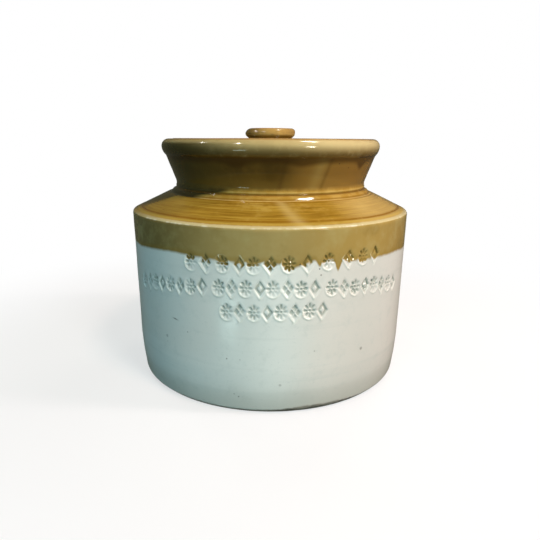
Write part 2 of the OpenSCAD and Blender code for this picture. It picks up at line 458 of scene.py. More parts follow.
# %% [markdown]
# Now the potter's hand. Fine rings climb the shoulder, not quite level, the wall waves very
# slightly and the rim droops a little on the left. The points move along their own normals,
# because a bump wouldn't show at the outline. The rings are kept as an attribute too, so that the
# glaze can pool in what is low.


# %% Throwing marks
def normals_of(obj):
    return vectors_of(obj.data.vertex_normals, "vector")


def ring_field(distance, count, length, seed, width):
    """Uneven rings along a stretch: a sum of soft ridges and grooves at drawn places."""
    rng = np.random.default_rng(seed)
    places = (np.arange(count) + rng.uniform(-0.32, 0.32, count)) * length / count
    field = np.zeros_like(distance)
    for place in places:
        strength = rng.uniform(-1.0, 0.9)
        spread = width * rng.uniform(0.6, 1.5)
        field += strength * np.exp(-((distance - place) / spread) ** 2)
    return field


def noise_at(points, scale, offset=0.0):
    """Smooth noise from -1 to 1 at each point."""
    shift = Vector((offset, -offset, 2 * offset))
    return np.array([noise.noise(Vector(p) * scale + shift) for p in points])


# Rings are (count, the stretch that they share in mm, seed, width in mm).
SHOULDER_RINGS, SHOULDER_DEPTH = (22, 27.5, 5, 0.5), 0.035 * MM
WALL_RINGS, WALL_DEPTH = (13, 118, 8, 3.2), 0.07 * MM
NECK_RINGS, NECK_DEPTH, NECK_START = (6, 26, 9, 1.5), 0.05 * MM, 131
SLOPE_STRETCH = 1.106
POOL_WAY, POOL_WIDTH, POOL_DEPTH = 7.4, 1.4, 0.1 * MM
SKIN_SCALE, SKIN_DEPTH = 38, 0.14 * MM
DROOP, DROOP_OVER = 0.6 * MM, 8 * MM

angle_deg = np.degrees(np.arctan2(points[:, 0], -points[:, 1]))
radius = np.hypot(points[:, 0], points[:, 1])
height = points[:, 2]
outer = radius > THROAT_R + 8 * MM
shoulder = outer & (radius > COLLAR_R - MM)
shoulder &= (height > EDGE_Z - MM) & (height < COLLAR_Z + 0.3 * MM)
wall = (radius > BODY_R - 3.5 * MM) & (height > 6 * MM) & (height <= EDGE_Z - 1.5 * MM)
neck = outer & (radius > NECK_R - MM)
neck &= (height > NECK_FOOT_Z + MM) & (height < CREASE_Z - MM)

push = np.zeros(len(points))
rings = np.zeros(len(points))
sway = np.sin(np.radians(angle_deg + 40)) * 0.5
slope_way = (BODY_R - radius) / MM * SLOPE_STRETCH
rings[shoulder] = ring_field((slope_way + sway * 0.8)[shoulder], *SHOULDER_RINGS)
turned_away = np.clip(1.1 + 0.95 * np.sin(np.radians(angle_deg)), 0.2, 1)
push[shoulder] += SHOULDER_DEPTH * (rings * turned_away)[shoulder]
push[shoulder] -= POOL_DEPTH * np.exp(-((slope_way - POOL_WAY) / POOL_WIDTH) ** 2)[shoulder]
push[wall] += WALL_DEPTH * ring_field(height / MM + sway * 4, *WALL_RINGS)[wall]
push[neck] += NECK_DEPTH * ring_field((height / MM + sway * 2)[neck] - NECK_START, *NECK_RINGS)
uneven_skin = wall | shoulder | neck
push[uneven_skin] += noise_at(points[uneven_skin], SKIN_SCALE) * SKIN_DEPTH
pressed = press(points, angle_deg)
moved = points + normals_of(jar) * (push + pressed)[:, None]
on_rim = (radius > GALLERY_R + 1.5 * MM) & (height > CREASE_Z)
droop = np.clip((height - CREASE_Z) / DROOP_OVER, 0, 1) * np.clip(-points[:, 0] / RIM_R, 0, 1)
moved[on_rim, 2] -= (DROOP * droop)[on_rim]
write_points(jar, moved)
store(jar, "pressed", pressed / MM)
store(jar, "ring", rings)
print("pressed from", round(pressed.min() / MM, 2), "to", round(pressed.max() / MM, 2), "mm")

# %% [markdown]
# The lid is an inset plate with a button knob. The plate lies on its ledge below the rim, so its
# outline starts from the frame's own box. Plate and knob stay two pieces, as they were two pieces
# of clay. The knob leans half a millimetre, because it was stuck on by hand.

# %% Lid plate and knob
PLATE_R, PLATE_TOP = plate_high.x, plate_high.z
DISH_R, DISH = THROAT_R - 4 * MM, 1.6 * MM
KNOB_R, KNOB_TOP = knob_high.x, knob_high.z
KNOB_ROLL = 3.5 * MM
NOSE_Z = KNOB_TOP - KNOB_ROLL
KNOB_BASE_R, KNOB_WAIST_R = 15.4 * MM, 12.8 * MM
PAD_R, GROOVE = KNOB_BASE_R + 0.8 * MM, 0.8 * MM
PLATE_STEPS, KNOB_STEPS = 192, 128

plate_line = filled(rounded([
    (0, SEAT_Z + DISH, 0), (DISH_R - DISH, SEAT_Z + DISH, 0.8), (DISH_R, SEAT_Z, 0.6),
    (PLATE_R, SEAT_Z, 0.8), (PLATE_R, PLATE_TOP, 1.8),
    (PAD_R + 4 * GROOVE, PLATE_TOP, 0.8), (PAD_R + 2 * GROOVE, PLATE_TOP - GROOVE, 0.8),
    (PAD_R, PLATE_TOP, 0), (0, PLATE_TOP, 0),
]), 1.2 * MM)
knob_nose = roll(Vector((KNOB_R - KNOB_ROLL, NOSE_Z)), KNOB_ROLL, -30, 90, 12)
knob_foot = rounded([
    (0, PLATE_TOP, 0), (KNOB_BASE_R, PLATE_TOP, 0),
    (KNOB_WAIST_R, PLATE_TOP + 3.0 * MM, 2.4), tuple(knob_nose[0]) + (0,),
])
knob_line = filled(knob_foot[:-1] + knob_nose + [Vector((0, KNOB_TOP))], 0.9 * MM)
plate = lathe("lid_glazed", plate_line, PLATE_STEPS)
knob = lathe("knob_glazed", knob_line, KNOB_STEPS)
store_crest(plate, plate_line)
store_crest(knob, knob_line)


def hand_turned(obj, low_z, rings, depth):
    """Turned rings on what faces up, and a slight wobble, clear of the surfaces that touch."""
    co = read_points(obj)
    r = np.hypot(co[:, 0], co[:, 1])
    free = co[:, 2] > low_z
    off_centre = co[:, 0] / r.max() * 0.7
    marks = ring_field(r / MM + off_centre, rings, r.max() / MM, 21, 0.9)
    way = np.where(free, depth * marks + 0.08 * MM * noise_at(co, 60, 7.7), 0)
    write_points(obj, co + normals_of(obj) * way[:, None])
    store(obj, "ring", np.where(free, marks, 0))


hand_turned(plate, PLATE_TOP - 0.4 * MM, 18, 0.08 * MM)
hand_turned(knob, PLATE_TOP + 3 * MM, 7, 0.04 * MM)
LEAN_FOOT, LEAN_TOP = -0.4, 0.9
knob_points = read_points(knob)
lean = np.clip((knob_points[:, 2] - NOSE_Z) / KNOB_ROLL, 0, 1)
knob_points[:, 0] += (LEAN_TOP * lean + LEAN_FOOT) * MM
write_points(knob, knob_points)

# %% [markdown]
# Shader maths reads best as plain Python. A small class wraps a socket, so that `1 - mask * 2`
# adds the Math nodes by itself, and one method makes any other node from its type, settings and
# inputs. A glaze is then a list of coats, each a mask and a colour, laid on in turn.


# %% Shader helpers
def operator_pair(operation):
    """An operator with the socket on its left, and the same with it on the right."""
    def plain(self, other):
        return self.math(operation, self, other)

    def reflected(self, other):
        return self.math(operation, other, self)
    return plain, reflected


class Field:
    """A shader socket that can be used in sums."""
    __add__, __radd__ = operator_pair("ADD")
    __sub__, __rsub__ = operator_pair("SUBTRACT")
    __mul__, __rmul__ = operator_pair("MULTIPLY")
    __truediv__, __rtruediv__ = operator_pair("DIVIDE")
    __pow__, __rpow__ = operator_pair("POWER")

    def __init__(self, finish, socket):
        self.finish, self.socket = finish, socket

    def __neg__(self):
        return self * -1

    def math(self, operation, *values):
        return self.finish.node("ShaderNodeMath", {"operation": operation}, values)

    def larger(self, other):
        return self.math("MAXIMUM", self, other)

    def ramp(self, low, high):
        """A smooth step from 0 at low to 1 at high."""
        settings = {"interpolation_type": "SMOOTHSTEP"}
        return self.finish.node("ShaderNodeMapRange", settings, [self, low, high, 0.0, 1.0])

    def wander(self, reach):
        """A noise from 0 to 1, moved to lie round 0 and made reach wide."""
        return (self - 0.5) * reach

    def bell(self, middle, width):
        """1 where the value is the middle one, and nearly 0 two widths away."""
        away = (self - middle) / width
        return self.math("EXPONENT", -(away * away))


class Finish:
    """A material whose nodes are added by expressions."""

    def __init__(self, name):
        self.material = bpy.data.materials.new(name)
        self.material.use_nodes = True
        self.tree = self.material.node_tree
        self.tree.nodes.clear()

    def connect(self, value, socket):
        if isinstance(value, Field):
            self.tree.links.new(value.socket, socket)
        else:
            socket.default_value = value

    def node(self, kind, settings=None, inputs=(), output=0):
        made = self.tree.nodes.new(kind)
        for key, value in (settings or {}).items():
            setattr(made, key, value)
        pairs = inputs.items() if isinstance(inputs, dict) else enumerate(inputs)
        for key, value in pairs:
            self.connect(value, made.inputs[key])
        return Field(self, made.outputs[output])

    def place(self):
        """Object coordinates: the vector itself, and its x, y and z."""
        vector = self.node("ShaderNodeTexCoord", output="Object")
        parts = [self.node("ShaderNodeSeparateXYZ", None, [vector], k) for k in range(3)]
        return vector, parts

    def vector(self, *parts):
        return self.node("ShaderNodeCombineXYZ", None, parts)

    def noise(self, vector, scale, detail=2.0, roughness=0.5):
        values = {"Vector": vector, "Scale": scale, "Detail": detail, "Roughness": roughness}
        return self.node("ShaderNodeTexNoise", {"noise_dimensions": "3D"}, values)

    def cells(self, vector, scale):
        """Distance to the nearest of many scattered points."""
        return self.node("ShaderNodeTexVoronoi", None, {"Vector": vector, "Scale": scale})

    def mix(self, mask, first, second):
        """The first colour where the mask is 0 and the second where it is 1."""
        settings = {"data_type": "RGBA", "clamp_factor": True}
        return self.node("ShaderNodeMix", settings, {0: mask, 6: first, 7: second}, 2)

    def coats(self, colour, *layers):
        """A colour with others laid over it in turn; each layer is (mask, colour)."""
        for mask, over in layers:
            colour = self.mix(mask, colour, over)
        return colour

    def attribute(self, name):
        return self.node("ShaderNodeAttribute", {"attribute_name": name}, output="Fac")

    def output(self, shader):
        out = self.tree.nodes.new("ShaderNodeOutputMaterial")
        self.tree.links.new(shader.socket, out.inputs[0])
        return self.material

    def glassy(self, colour, roughness, relief, strength):
        """The Principled shader of a glaze; its relief is a tenth of a millimetre deep."""
        normal = self.node("ShaderNodeBump", None, {
            "Height": relief, "Distance": 0.1 * MM, "Strength": strength})
        return self.output(self.node("ShaderNodeBsdfPrincipled", None, {
            "Base Color": colour, "Roughness": roughness, "Normal": normal,
            "IOR": 1.5, "Specular IOR Level": 0.35,
        }))


def tone(red, green, blue):
    """A colour as a painter reads it off a screen, 0 to 255, made linear for the shader."""
    def linear(value):
        value /= 255
        return value / 12.92 if value <= 0.04045 else ((value + 0.055) / 1.055) ** 2.4
    return (linear(red), linear(green), linear(blue), 1.0)


# %% [markdown]
# The pot is cream all over, and was dipped upside down into an ochre glaze. Where the ochre is
# thick, as round the neck, it turns brown, and where it ran thin, as on the edge of the shoulder
# and the rim, it turns pale. First comes what the coats depend on: where a point lies, how deep it
# is pressed, which side of the pot takes painted light and which painted shade, and the noises that
# make an edge wander.

# %% Where the glaze lies
DEG = math.radians(1)


def jar_fields(f):
    """What the glazes are mixed from: place, sides for painted light and shade, noises, attributes.
    """
    vector, (x, y, z) = f.place()
    r = (x * x + y * y) ** 0.5
    side, turn_y = x / r, y / r
    angle = f.node("ShaderNodeMath", {"operation": "ARCTAN2"}, [x, -y])
    pressed = f.attribute("pressed")

    def wrapped(spread, up):
        """A place for a noise that follows the pot round."""
        return f.vector(side * spread, turn_y * spread, up)

    def at(where, spread):
        """A bell at an angle round the pot, in degrees."""
        return angle.bell(where * DEG, spread * DEG)

    around = wrapped(1, z * 2.2)
    return SimpleNamespace(
        vector=vector, z=z, r=r, side=side, angle=angle, wrapped=wrapped, at=at,
        # left is the side painted in shade, and right the side painted in light.
        left=side.ramp(-0.1, -0.75), right=side.ramp(0.0, 0.5),
        slow=f.noise(vector, 16, 2), fine=f.noise(vector, 130, 3, 0.6),
        grain=f.noise(vector, 620, 2, 0.6),
        drift=f.noise(around, 3.2, 3), jag=f.noise(around, 22, 2, 0.55),
        ring=f.attribute("ring"), crest=f.attribute("crest"), pressed=pressed,
        # The pressed hollows are painted in shade, and the raised burrs painted with a highlight.
        hollow_shade=pressed.ramp(-0.12, -0.7) * 0.6, burr=pressed.ramp(0.05, 0.3) * 0.5,
    )


# %% [markdown]
# Where the two glazes meet. The line swells gently on the left, sags in the middle and runs down
# in two drips on the right. A pressed hollow holds ochre below the line, and a burr shows cream
# above it.

# %% Meeting line of the glazes
# Each swell is (its angle, how far it spreads, how many mm it hangs down), and each step is
# (first angle, last angle, how many mm the line climbs between them).
LINE_LEVEL = 97.6 * MM
SWELLS = [(-35, 17, -2.4), (20, 7, -2.4), (8, 4.0, 2.8), (17.1, 1.2, 4.4), (23.9, 1.3, 7.4)]
STEPS = [(24, 34, -1.5), (55, 66, -1.3), (90, 170, 2.8)]


def meeting_line(f, s):
    """The height where the ochre glaze ends."""
    line = LINE_LEVEL + s.drift.wander(1.2 * MM) + s.jag.wander(0.9 * MM) + s.pressed * (4.5 * MM)
    for where, spread, fall in SWELLS:
        line = line - s.at(where, spread) * (fall * MM)
    for first, last, rise in STEPS:
        line = line + s.angle.ramp(first * DEG, last * DEG) * (rise * MM)
    return line


# %% [markdown]
# The cream glaze below and the thin ochre band above it. The band is the same glaze as the
# shoulder's and looks greener because it ran thin on the upright wall. Both are painted darker in
# the pressed hollows as shade and paler on the burrs as highlight, and their sides carry painted
# light and shade.

# %% Cream and band
CREAM, CREAM_WARM, CREAM_GREY = tone(219, 222, 217), tone(226, 216, 206), tone(180, 188, 183)
CREAM_LIT_FRONT, CREAM_SHADE_RIGHT, CREAM_SHADE_LOW = tone(234, 235, 229), tone(204, 201, 193), tone(172, 170, 158)
CREAM_HOLLOW_SHADE, CREAM_BURR_HIGHLIGHT = tone(150, 156, 143), tone(240, 240, 228)
BAND, BAND_SHADE_OLIVE, BAND_LIT_TAN = tone(168, 146, 92), tone(114, 92, 48), tone(162, 132, 68)
BAND_FAR_SHADE, BAND_CLOUD, BAND_FLECK = tone(142, 112, 52), tone(146, 118, 60), tone(182, 164, 110)
BAND_THIN, BAND_THICK, BAND_HEM = tone(178, 166, 112), tone(120, 98, 44), tone(142, 112, 44)
BAND_HOLLOW_SHADE, BAND_BURR_HIGHLIGHT = tone(108, 88, 38), tone(222, 210, 172)


def cream_tone(f, s):
    throwing = f.noise(s.wrapped(0.9, s.z * 210), 1.0, 3, 0.6)
    return f.coats(
        CREAM,
        (s.slow.ramp(0.35, 0.7) * 0.4, CREAM_WARM),
        # Painted light: warm on the right and brighter at the front; painted shade further right.
        (s.right * 0.6, CREAM_WARM),
        (s.side.bell(0.0, 0.2) * 0.9, CREAM_LIT_FRONT),
        (s.side.bell(0.62, 0.26) * 0.8, CREAM_SHADE_RIGHT),
        (throwing.ramp(0.5, 0.8) * 0.18, CREAM_GREY),
        (s.fine.ramp(0.5, 0.85) * 0.3, CREAM_GREY),
        (s.grain.ramp(0.56, 0.8) * 0.2, CREAM_GREY),
        # Painted shade in the hollows and towards the foot, and a painted highlight on the burrs.
        (s.hollow_shade, CREAM_HOLLOW_SHADE),
        ((s.z + s.drift.wander(12 * MM)).ramp(24 * MM, 3 * MM) * 0.5, CREAM_SHADE_LOW),
        (s.burr, CREAM_BURR_HIGHLIGHT),
    )


def band_tone(f, s, line):
    mottle = f.noise(s.vector, 48, 3, 0.6)
    return f.coats(
        BAND,
        # Painted shade on the left and the far right, painted light on the right.
        (s.left * 0.85, BAND_SHADE_OLIVE),
        (s.right * 0.8, BAND_LIT_TAN),
        (s.side.ramp(0.6, 0.9) * 0.4, BAND_FAR_SHADE),
        (s.slow.ramp(0.45, 0.75) * 0.3, BAND_CLOUD),
        (mottle.ramp(0.52, 0.72) * 0.3, BAND_THIN),
        (mottle.ramp(0.46, 0.3) * 0.3, BAND_THICK),
        (s.fine.ramp(0.4, 0.8) * 0.25, BAND_FLECK),
        ((s.z - line).ramp(4.5 * MM, 1.0 * MM) * 0.4, BAND_HEM),
        # Painted shade in the hollows and a painted highlight on the burrs.
        (s.hollow_shade, BAND_HOLLOW_SHADE),
        (s.burr, BAND_BURR_HIGHLIGHT),
    )


# %% [markdown]
# The shoulder. Its ochre lies in fine broken streaks along the turning marks, and pools in an
# amber line a little in from the edge and in a finer one below the collar. One pale run crosses it
# at a slant. The neck's shadow is painted on its left, and light on its right.

# %% Shoulder
OCHRE, OCHRE_DARK, OCHRE_LIGHT = tone(165, 130, 45), tone(127, 90, 22), tone(189, 158, 79)
OCHRE_LIT_RIGHT, OCHRE_LEFT, OCHRE_RUN = tone(206, 176, 108), tone(176, 138, 54), tone(206, 180, 112)
OCHRE_SHADE, AMBER = tone(70, 50, 20), tone(132, 88, 18)


def shoulder_tone(f, s):
    streaks = f.noise(s.wrapped(2.4, s.r * 640), 1.0, 4, 0.72)
    blotches = f.noise(s.vector, 75, 3, 0.65)
    # A painted shadow that the neck casts on the left of the shoulder.
    neck_shadow = (s.side + (s.r - LINE_R) * 6.5).ramp(-0.80, -0.86)
    neck_shadow = neck_shadow.larger(s.side.ramp(-0.955, -0.985))
    by_edge = (s.r + s.drift.wander(1.6 * MM)).bell(BODY_R - 6.6 * MM, 0.9 * MM)
    by_collar = s.r.bell(LINE_R + 1.4 * MM, 0.5 * MM)
    pooled = (by_edge * s.jag.ramp(0.1, 0.5) * 0.95).larger(by_collar * 0.6)
    run = (s.angle - (s.r - COLLAR_R) * 4.9).bell(5 * DEG, 2.6 * DEG)
    return f.coats(
        OCHRE_DARK,
        (streaks.ramp(0.34, 0.62), OCHRE),
        (streaks.ramp(0.56, 0.78) * 0.6, OCHRE_LIGHT),
        (blotches.ramp(0.52, 0.74) * 0.4, OCHRE_LIGHT),
        (s.ring.ramp(0.1, 1.2) * 0.25, OCHRE_LIGHT),
        (s.ring.ramp(-0.1, -1.2) * 0.4, OCHRE_DARK),
        # Painted light on the right side.
        (s.side.ramp(0.4, 0.7) * 0.5, OCHRE_LIT_RIGHT),
        (s.side.ramp(-0.3, -0.75) * 0.5, OCHRE_LEFT),
        (neck_shadow * 0.8, OCHRE_SHADE),
        (pooled, AMBER),
        (run * 0.4, OCHRE_RUN),
    )


# %% [markdown]
# The neck is brown, because the glaze is thick below the rim. Darker pools hang from the crease, a
# few soft runs cross it at a slant, and at the waist the brown ends and the amber begins. Light is
# painted on its right side and shade on its left.

# %% Neck
BROWN, BROWN_DARK, BROWN_LIGHT = tone(102, 74, 26), tone(60, 40, 12), tone(134, 98, 42)
BROWN_DEEP, BROWN_LIT_RIGHT, BROWN_FOOT = tone(94, 68, 24), tone(138, 102, 46), tone(152, 120, 58)
BROWN_SHADE_LEFT, BROWN_THICK, BROWN_RUN = tone(68, 54, 18), tone(66, 48, 16), tone(158, 134, 74)
BROWN_POOL = tone(60, 36, 10)
# Each pool is (its angle, how far it spreads, how many mm it hangs down).
POOLS = [(-16, 5, 2.6), (15, 6, 2.0), (53, 3.6, 4.0)]


def neck_tone(f, s):
    broad = f.noise(s.wrapped(1, s.z * 6), 3.4, 2, 0.5)
    thick = s.at(-1, 6) * s.z.ramp(139 * MM, 145 * MM)
    slant = s.angle - (s.z - 146 * MM) * 3.0 + broad.wander(0.05)
    seams = slant.bell(28.6 * DEG, 1.3 * DEG) + slant.bell(6.5 * DEG, 1.5 * DEG)
    reach = 1.2 * MM + f.noise(s.wrapped(1, s.z * 3), 4.0, 2, 0.5) * (2.4 * MM)
    for where, spread, fall in POOLS:
        reach = reach + s.at(where, spread) * (fall * MM)
    pool = (s.z - (CREASE_Z - reach)).ramp(-2.4 * MM, 1.4 * MM)
    return f.coats(
        BROWN_DEEP,
        (broad.ramp(0.35, 0.65) * 0.5, BROWN_DARK),
        (s.fine.ramp(0.45, 0.8) * 0.2, BROWN_LIGHT),
        # Painted light on the right.
        (s.right * 0.8, BROWN_LIT_RIGHT),
        (s.z.ramp(148 * MM, 137 * MM) * 0.3, BROWN_FOOT),
        # Painted shade on the left.
        (s.left * 0.75, BROWN_SHADE_LEFT),
        (thick * 0.5, BROWN_THICK),
        (s.at(17, 6) * 0.45, BROWN_LIGHT),
        (slant.bell(24.0 * DEG, 3.2 * DEG) * 0.35, BROWN_RUN),
        (seams * 0.3, BROWN_DARK),
        (pool * 0.7, BROWN_POOL),
    )


# %% [markdown]
# The collar has fine turned grooves, where the glaze gathers and darkens, and ridges between them,
# where it is drawn thin. Its left side lies in the shade of the neck.

# %% Collar
COLLAR_AMBER, COLLAR_LIGHT = tone(158, 120, 46), tone(184, 152, 80)
COLLAR_GROOVE, COLLAR_RIDGE, COLLAR_SHADE = tone(112, 74, 20), tone(222, 194, 124), tone(26, 23, 10)


def collar_tone(f, s):
    """Amber, with one pale line along its outer edge and another where the neck begins."""
    grooves = s.z.bell(NECK_FOOT_Z + 1.4 * MM, 0.45 * MM)
    grooves = grooves + s.r.bell(LINE_R - 0.9 * MM, 0.35 * MM) * 0.5
    ridges = s.z.bell(RIDGE_Z, 0.3 * MM) * 0.4 + s.r.bell(LINE_R, 0.4 * MM)
    edge = 0.26 * s.z.ramp(LINE_Z + 0.3 * MM, NECK_FOOT_Z + 4 * MM) - 0.62
    return f.coats(
        COLLAR_AMBER,
        (s.fine.ramp(0.35, 0.7) * 0.6, COLLAR_LIGHT),
        (grooves * 0.6, COLLAR_GROOVE),
        (s.r.bell(NECK_R + 3.4 * MM, 0.22 * MM) * 0.45, COLLAR_GROOVE),
        (ridges * 0.6, COLLAR_RIDGE),
        ((s.side - edge).ramp(0.05, -0.09) * 0.9, COLLAR_SHADE),
    )


# %% [markdown]
# The rolled rim. The glaze drew back from its top, which is paler. Shade is painted olive on its
# lower part and on its left, and light is painted on its upper right.

# %% Rim
RIM_TAN, RIM_BROWN, RIM_OLIVE_SHADE = tone(178, 155, 104), tone(104, 78, 36), tone(64, 50, 18)
RIM_FLECK, RIM_LIT, RIM_SHADE_LEFT = tone(206, 182, 126), tone(212, 194, 146), tone(128, 104, 46)
RIM_LINE = tone(152, 106, 40)


def rim_tone(f, s):
    # Painted shade low on the rim and on its left, painted light on its upper right.
    lower = s.z.ramp(RIM_TOP - 3 * MM, RIM_TOP - 8 * MM) * (1 - s.right)
    upper_lit = s.z.ramp(CREASE_Z + 3 * MM, RIM_TOP - 3 * MM) * s.right
    upper_shade = s.z.ramp(RIM_TOP - 3 * MM, RIM_TOP) * s.left
    shaded = s.z.ramp(RIM_TOP - 1.6 * MM, RIM_TOP - 4 * MM) * s.left
    top_line = s.z.ramp(RIM_TOP - 1.4 * MM, RIM_TOP - 0.5 * MM) * s.drift.ramp(0.15, 0.5)
    return f.coats(
        RIM_BROWN,
        (s.z.ramp(CREASE_Z + 0.5 * MM, CREASE_Z + 9.2 * MM), RIM_TAN),
        (lower * 0.35, RIM_OLIVE_SHADE),
        (s.fine.ramp(0.45, 0.8) * 0.25, RIM_FLECK),
        (upper_lit * 0.35, RIM_LIT),
        (upper_shade * 0.8, RIM_SHADE_LEFT),
        (shaded * 0.92, RIM_OLIVE_SHADE),
        (top_line * 0.65, RIM_LINE),
    )


# %% [markdown]
# Now these zones are laid over each other, from the band up to the rim. At the shoulder's edge the
# glaze is drawn off the clay in a broken pale line, with a yellow one behind it, and every other
# crest is a little paler.

# %% Upper glaze
EDGE_YELLOW, DRAWN_PALE, POOLED_BROWN = tone(196, 166, 76), tone(236, 230, 206), tone(92, 60, 16)
THIN_GLAZE = tone(202, 188, 142)


def upper_glaze(f, s, line):
    """The ochre glaze from the band to the rim, and where it is drawn thin over the edge."""
    waist = WAIST_Z - 1.8 * MM + s.jag.wander(1.6 * MM)
    past_line = s.r.ramp(LINE_R + 0.9 * MM, LINE_R + 0.4 * MM)
    past_shoulder = s.z.ramp(COLLAR_Z - MM, COLLAR_Z)
    above_edge = s.z.ramp(EDGE_Z - 0.35 * MM, EDGE_Z + 0.05 * MM)
    yellow = (s.r + s.jag.wander(MM)).bell(BODY_R - 4.0 * MM, 1.2 * MM) * above_edge
    top = f.coats(
        shoulder_tone(f, s),
        (past_line * past_shoulder, collar_tone(f, s)),
        ((s.z - waist).ramp(-1.6 * MM, 2.0 * MM), neck_tone(f, s)),
        (s.z.ramp(CREASE_Z + 0.1 * MM, CREASE_Z + 1.5 * MM), rim_tone(f, s)),
        (yellow * 0.45, EDGE_YELLOW),
    )
    edge_r = BODY_R - 2.5 * MM + s.jag.wander(0.9 * MM)
    pale_edge = (s.r - edge_r).ramp(-0.9 * MM, 0.7 * MM) * above_edge
    pale_edge = pale_edge * (1 - 0.75 * s.side.ramp(-0.7, -0.97))
    thin = (s.crest + s.jag.wander(0.08)).ramp(0.20, 0.34) * past_shoulder
    thin = thin * (1 - 0.7 * s.z.bell(RIDGE_Z, 1.2 * MM))
    crumbs = f.noise(s.wrapped(7, s.z * 60), 1.0, 4, 0.7)
    drawn_off = s.z.bell(EDGE_Z + 0.1 * MM, 0.4 * MM) * crumbs.ramp(0.45, 0.68)
    drawn_off = drawn_off * s.r.ramp(BODY_R - 3 * MM, BODY_R - 2 * MM)
    glaze = f.coats(
        band_tone(f, s, line),
        (above_edge, top),
        (pale_edge * 0.85, THIN_GLAZE),
        (thin * 0.55, THIN_GLAZE),
        (drawn_off * 0.75, DRAWN_PALE),
        (s.crest.ramp(-0.12, -0.4) * 0.55, POOLED_BROWN),
    )
    return glaze, pale_edge


# %% [markdown]
# The inside has a tan lining. Bare clay shows under the foot and on the lid's ledge, where glaze
# would have stuck fast in the kiln; the foot's clay is painted darker, as shade. Iron specks are
# scattered all over.

# %% Lining, specks and bare clay
LINING, LINING_DARK = tone(176, 150, 96), tone(150, 118, 62)
BARE_CLAY, BARE_DARK = tone(176, 158, 128), tone(140, 122, 94)
# The foot's bare clay is painted darker than the ledge's, as shade.
FOOT_CLAY_SHADED, FOOT_DARK_SHADED = tone(152, 146, 134), tone(92, 88, 80)
IRON = tone(58, 44, 30)


def inside(f, s):
    """Where the lining lies: under the shoulder and down the throat."""
    shoulder_z = EDGE_Z + (BODY_R - s.r) * ((COLLAR_Z - EDGE_Z) / (BODY_R - COLLAR_R))
    below_neck = s.r.ramp(BODY_R - 4 * MM, BODY_R - 6 * MM)
    below_neck = below_neck * (s.z - shoulder_z).ramp(-2.5 * MM, -4.5 * MM)
    throat = s.r.ramp(THROAT_R + 2 * MM, THROAT_R + MM)
    throat = throat * s.z.ramp(SEAT_Z - 0.6 * MM, SEAT_Z - 1.4 * MM)
    return below_neck.larger(throat) * s.z.ramp(2.5 * MM, 6 * MM)


def flaws(f, s):
    """Iron specks and larger spots all over, and one scratch low on the left."""
    specks = f.cells(s.vector, 150).ramp(0.11, 0.05) * f.noise(s.vector, 45, 1).ramp(0.58, 0.64)
    spots = f.cells(s.vector, 46).ramp(0.07, 0.02) * f.noise(s.vector, 17, 1).ramp(0.52, 0.6)
    scratch = (s.z + s.angle * (16 * MM)).bell(46.3 * MM, 0.4 * MM)
    scratch = scratch * s.at(-36.7, 1.1)
    return (specks * 0.7).larger(spots * 0.5).larger(scratch * 0.9)


def unglazed(f, s):
    """The lid's ledge by itself, and all that is bare, with the ragged edge of the foot."""
    on_seat = s.r.ramp(GALLERY_R + 0.4 * MM, GALLERY_R - 0.1 * MM)
    on_seat = on_seat * s.r.ramp(THROAT_R - 0.4 * MM, THROAT_R)
    on_seat = on_seat * s.z.ramp(SEAT_Z + 7 * MM, SEAT_Z + 5 * MM)
    on_seat = on_seat * s.z.ramp(SEAT_Z - 2 * MM, SEAT_Z - MM)
    chipped = s.at(20, 20) * (2.8 * MM)
    ragged = s.z + s.drift.wander(2 * MM) + s.jag.wander(1.6 * MM)
    return on_seat, on_seat.larger((ragged - chipped).ramp(2.4 * MM, 1.1 * MM))


def seat_clay(f, slow):
    return f.mix(slow.ramp(0.3, 0.7), BARE_CLAY, BARE_DARK)


# %% [markdown]
# All of them in one material, so that their edges can run across the form as they do on the pot.
# The bump only holds what is too fine for a mesh: orange peel, pits and the grain of the clay.


# %% The jar's glaze
def jar_glaze():
    f = Finish("jar_two_glazes")
    s = jar_fields(f)
    line = meeting_line(f, s)
    glazed_twice = (s.z - line).ramp(-1.1 * MM, 1.2 * MM)
    upper, pale_edge = upper_glaze(f, s, line)
    dirt = flaws(f, s)
    on_seat, bare = unglazed(f, s)
    shaded_foot_clay = f.mix(s.fine.ramp(0.3, 0.7), FOOT_CLAY_SHADED, FOOT_DARK_SHADED)
    colour = f.coats(
        cream_tone(f, s),
        (glazed_twice, upper),
        (inside(f, s), f.mix(s.slow.ramp(0.35, 0.7), LINING, LINING_DARK)),
        (dirt, IRON),
        (bare, f.mix(on_seat, shaded_foot_clay, seat_clay(f, s.slow))),
    )
    orange_peel = f.noise(s.vector, 240, 2, 0.5) * 0.2 + f.noise(s.vector, 60, 2) * 0.6
    relief = orange_peel * (1 - glazed_twice * 0.4) - dirt * 0.7
    relief = relief + bare * f.noise(s.vector, 900, 3, 0.7) * 1.2 + glazed_twice * 0.8
    relief = relief + pale_edge * f.noise(s.vector, 420, 2, 0.6) * 1.4
    roughness = 0.18 - glazed_twice * 0.13 + s.fine * 0.05 + bare * 0.4 + dirt * 0.2
    return f.glassy(colour, roughness, relief, 0.6)


jar.data.materials.append(jar_glaze())
print("the jar's glaze has", len(jar.data.materials[0].node_tree.nodes), "nodes")

# %% [markdown]
# The lid carries the ochre glaze on top. Its edge and underside are bare, or it would have stuck
# to the ledge. The knob was glazed with it, and is painted browner below its nose and on its left
# side, as shade.

# %% Lid glaze
KNOB_TONE, KNOB_LIGHT = tone(146, 104, 32), tone(188, 144, 64)


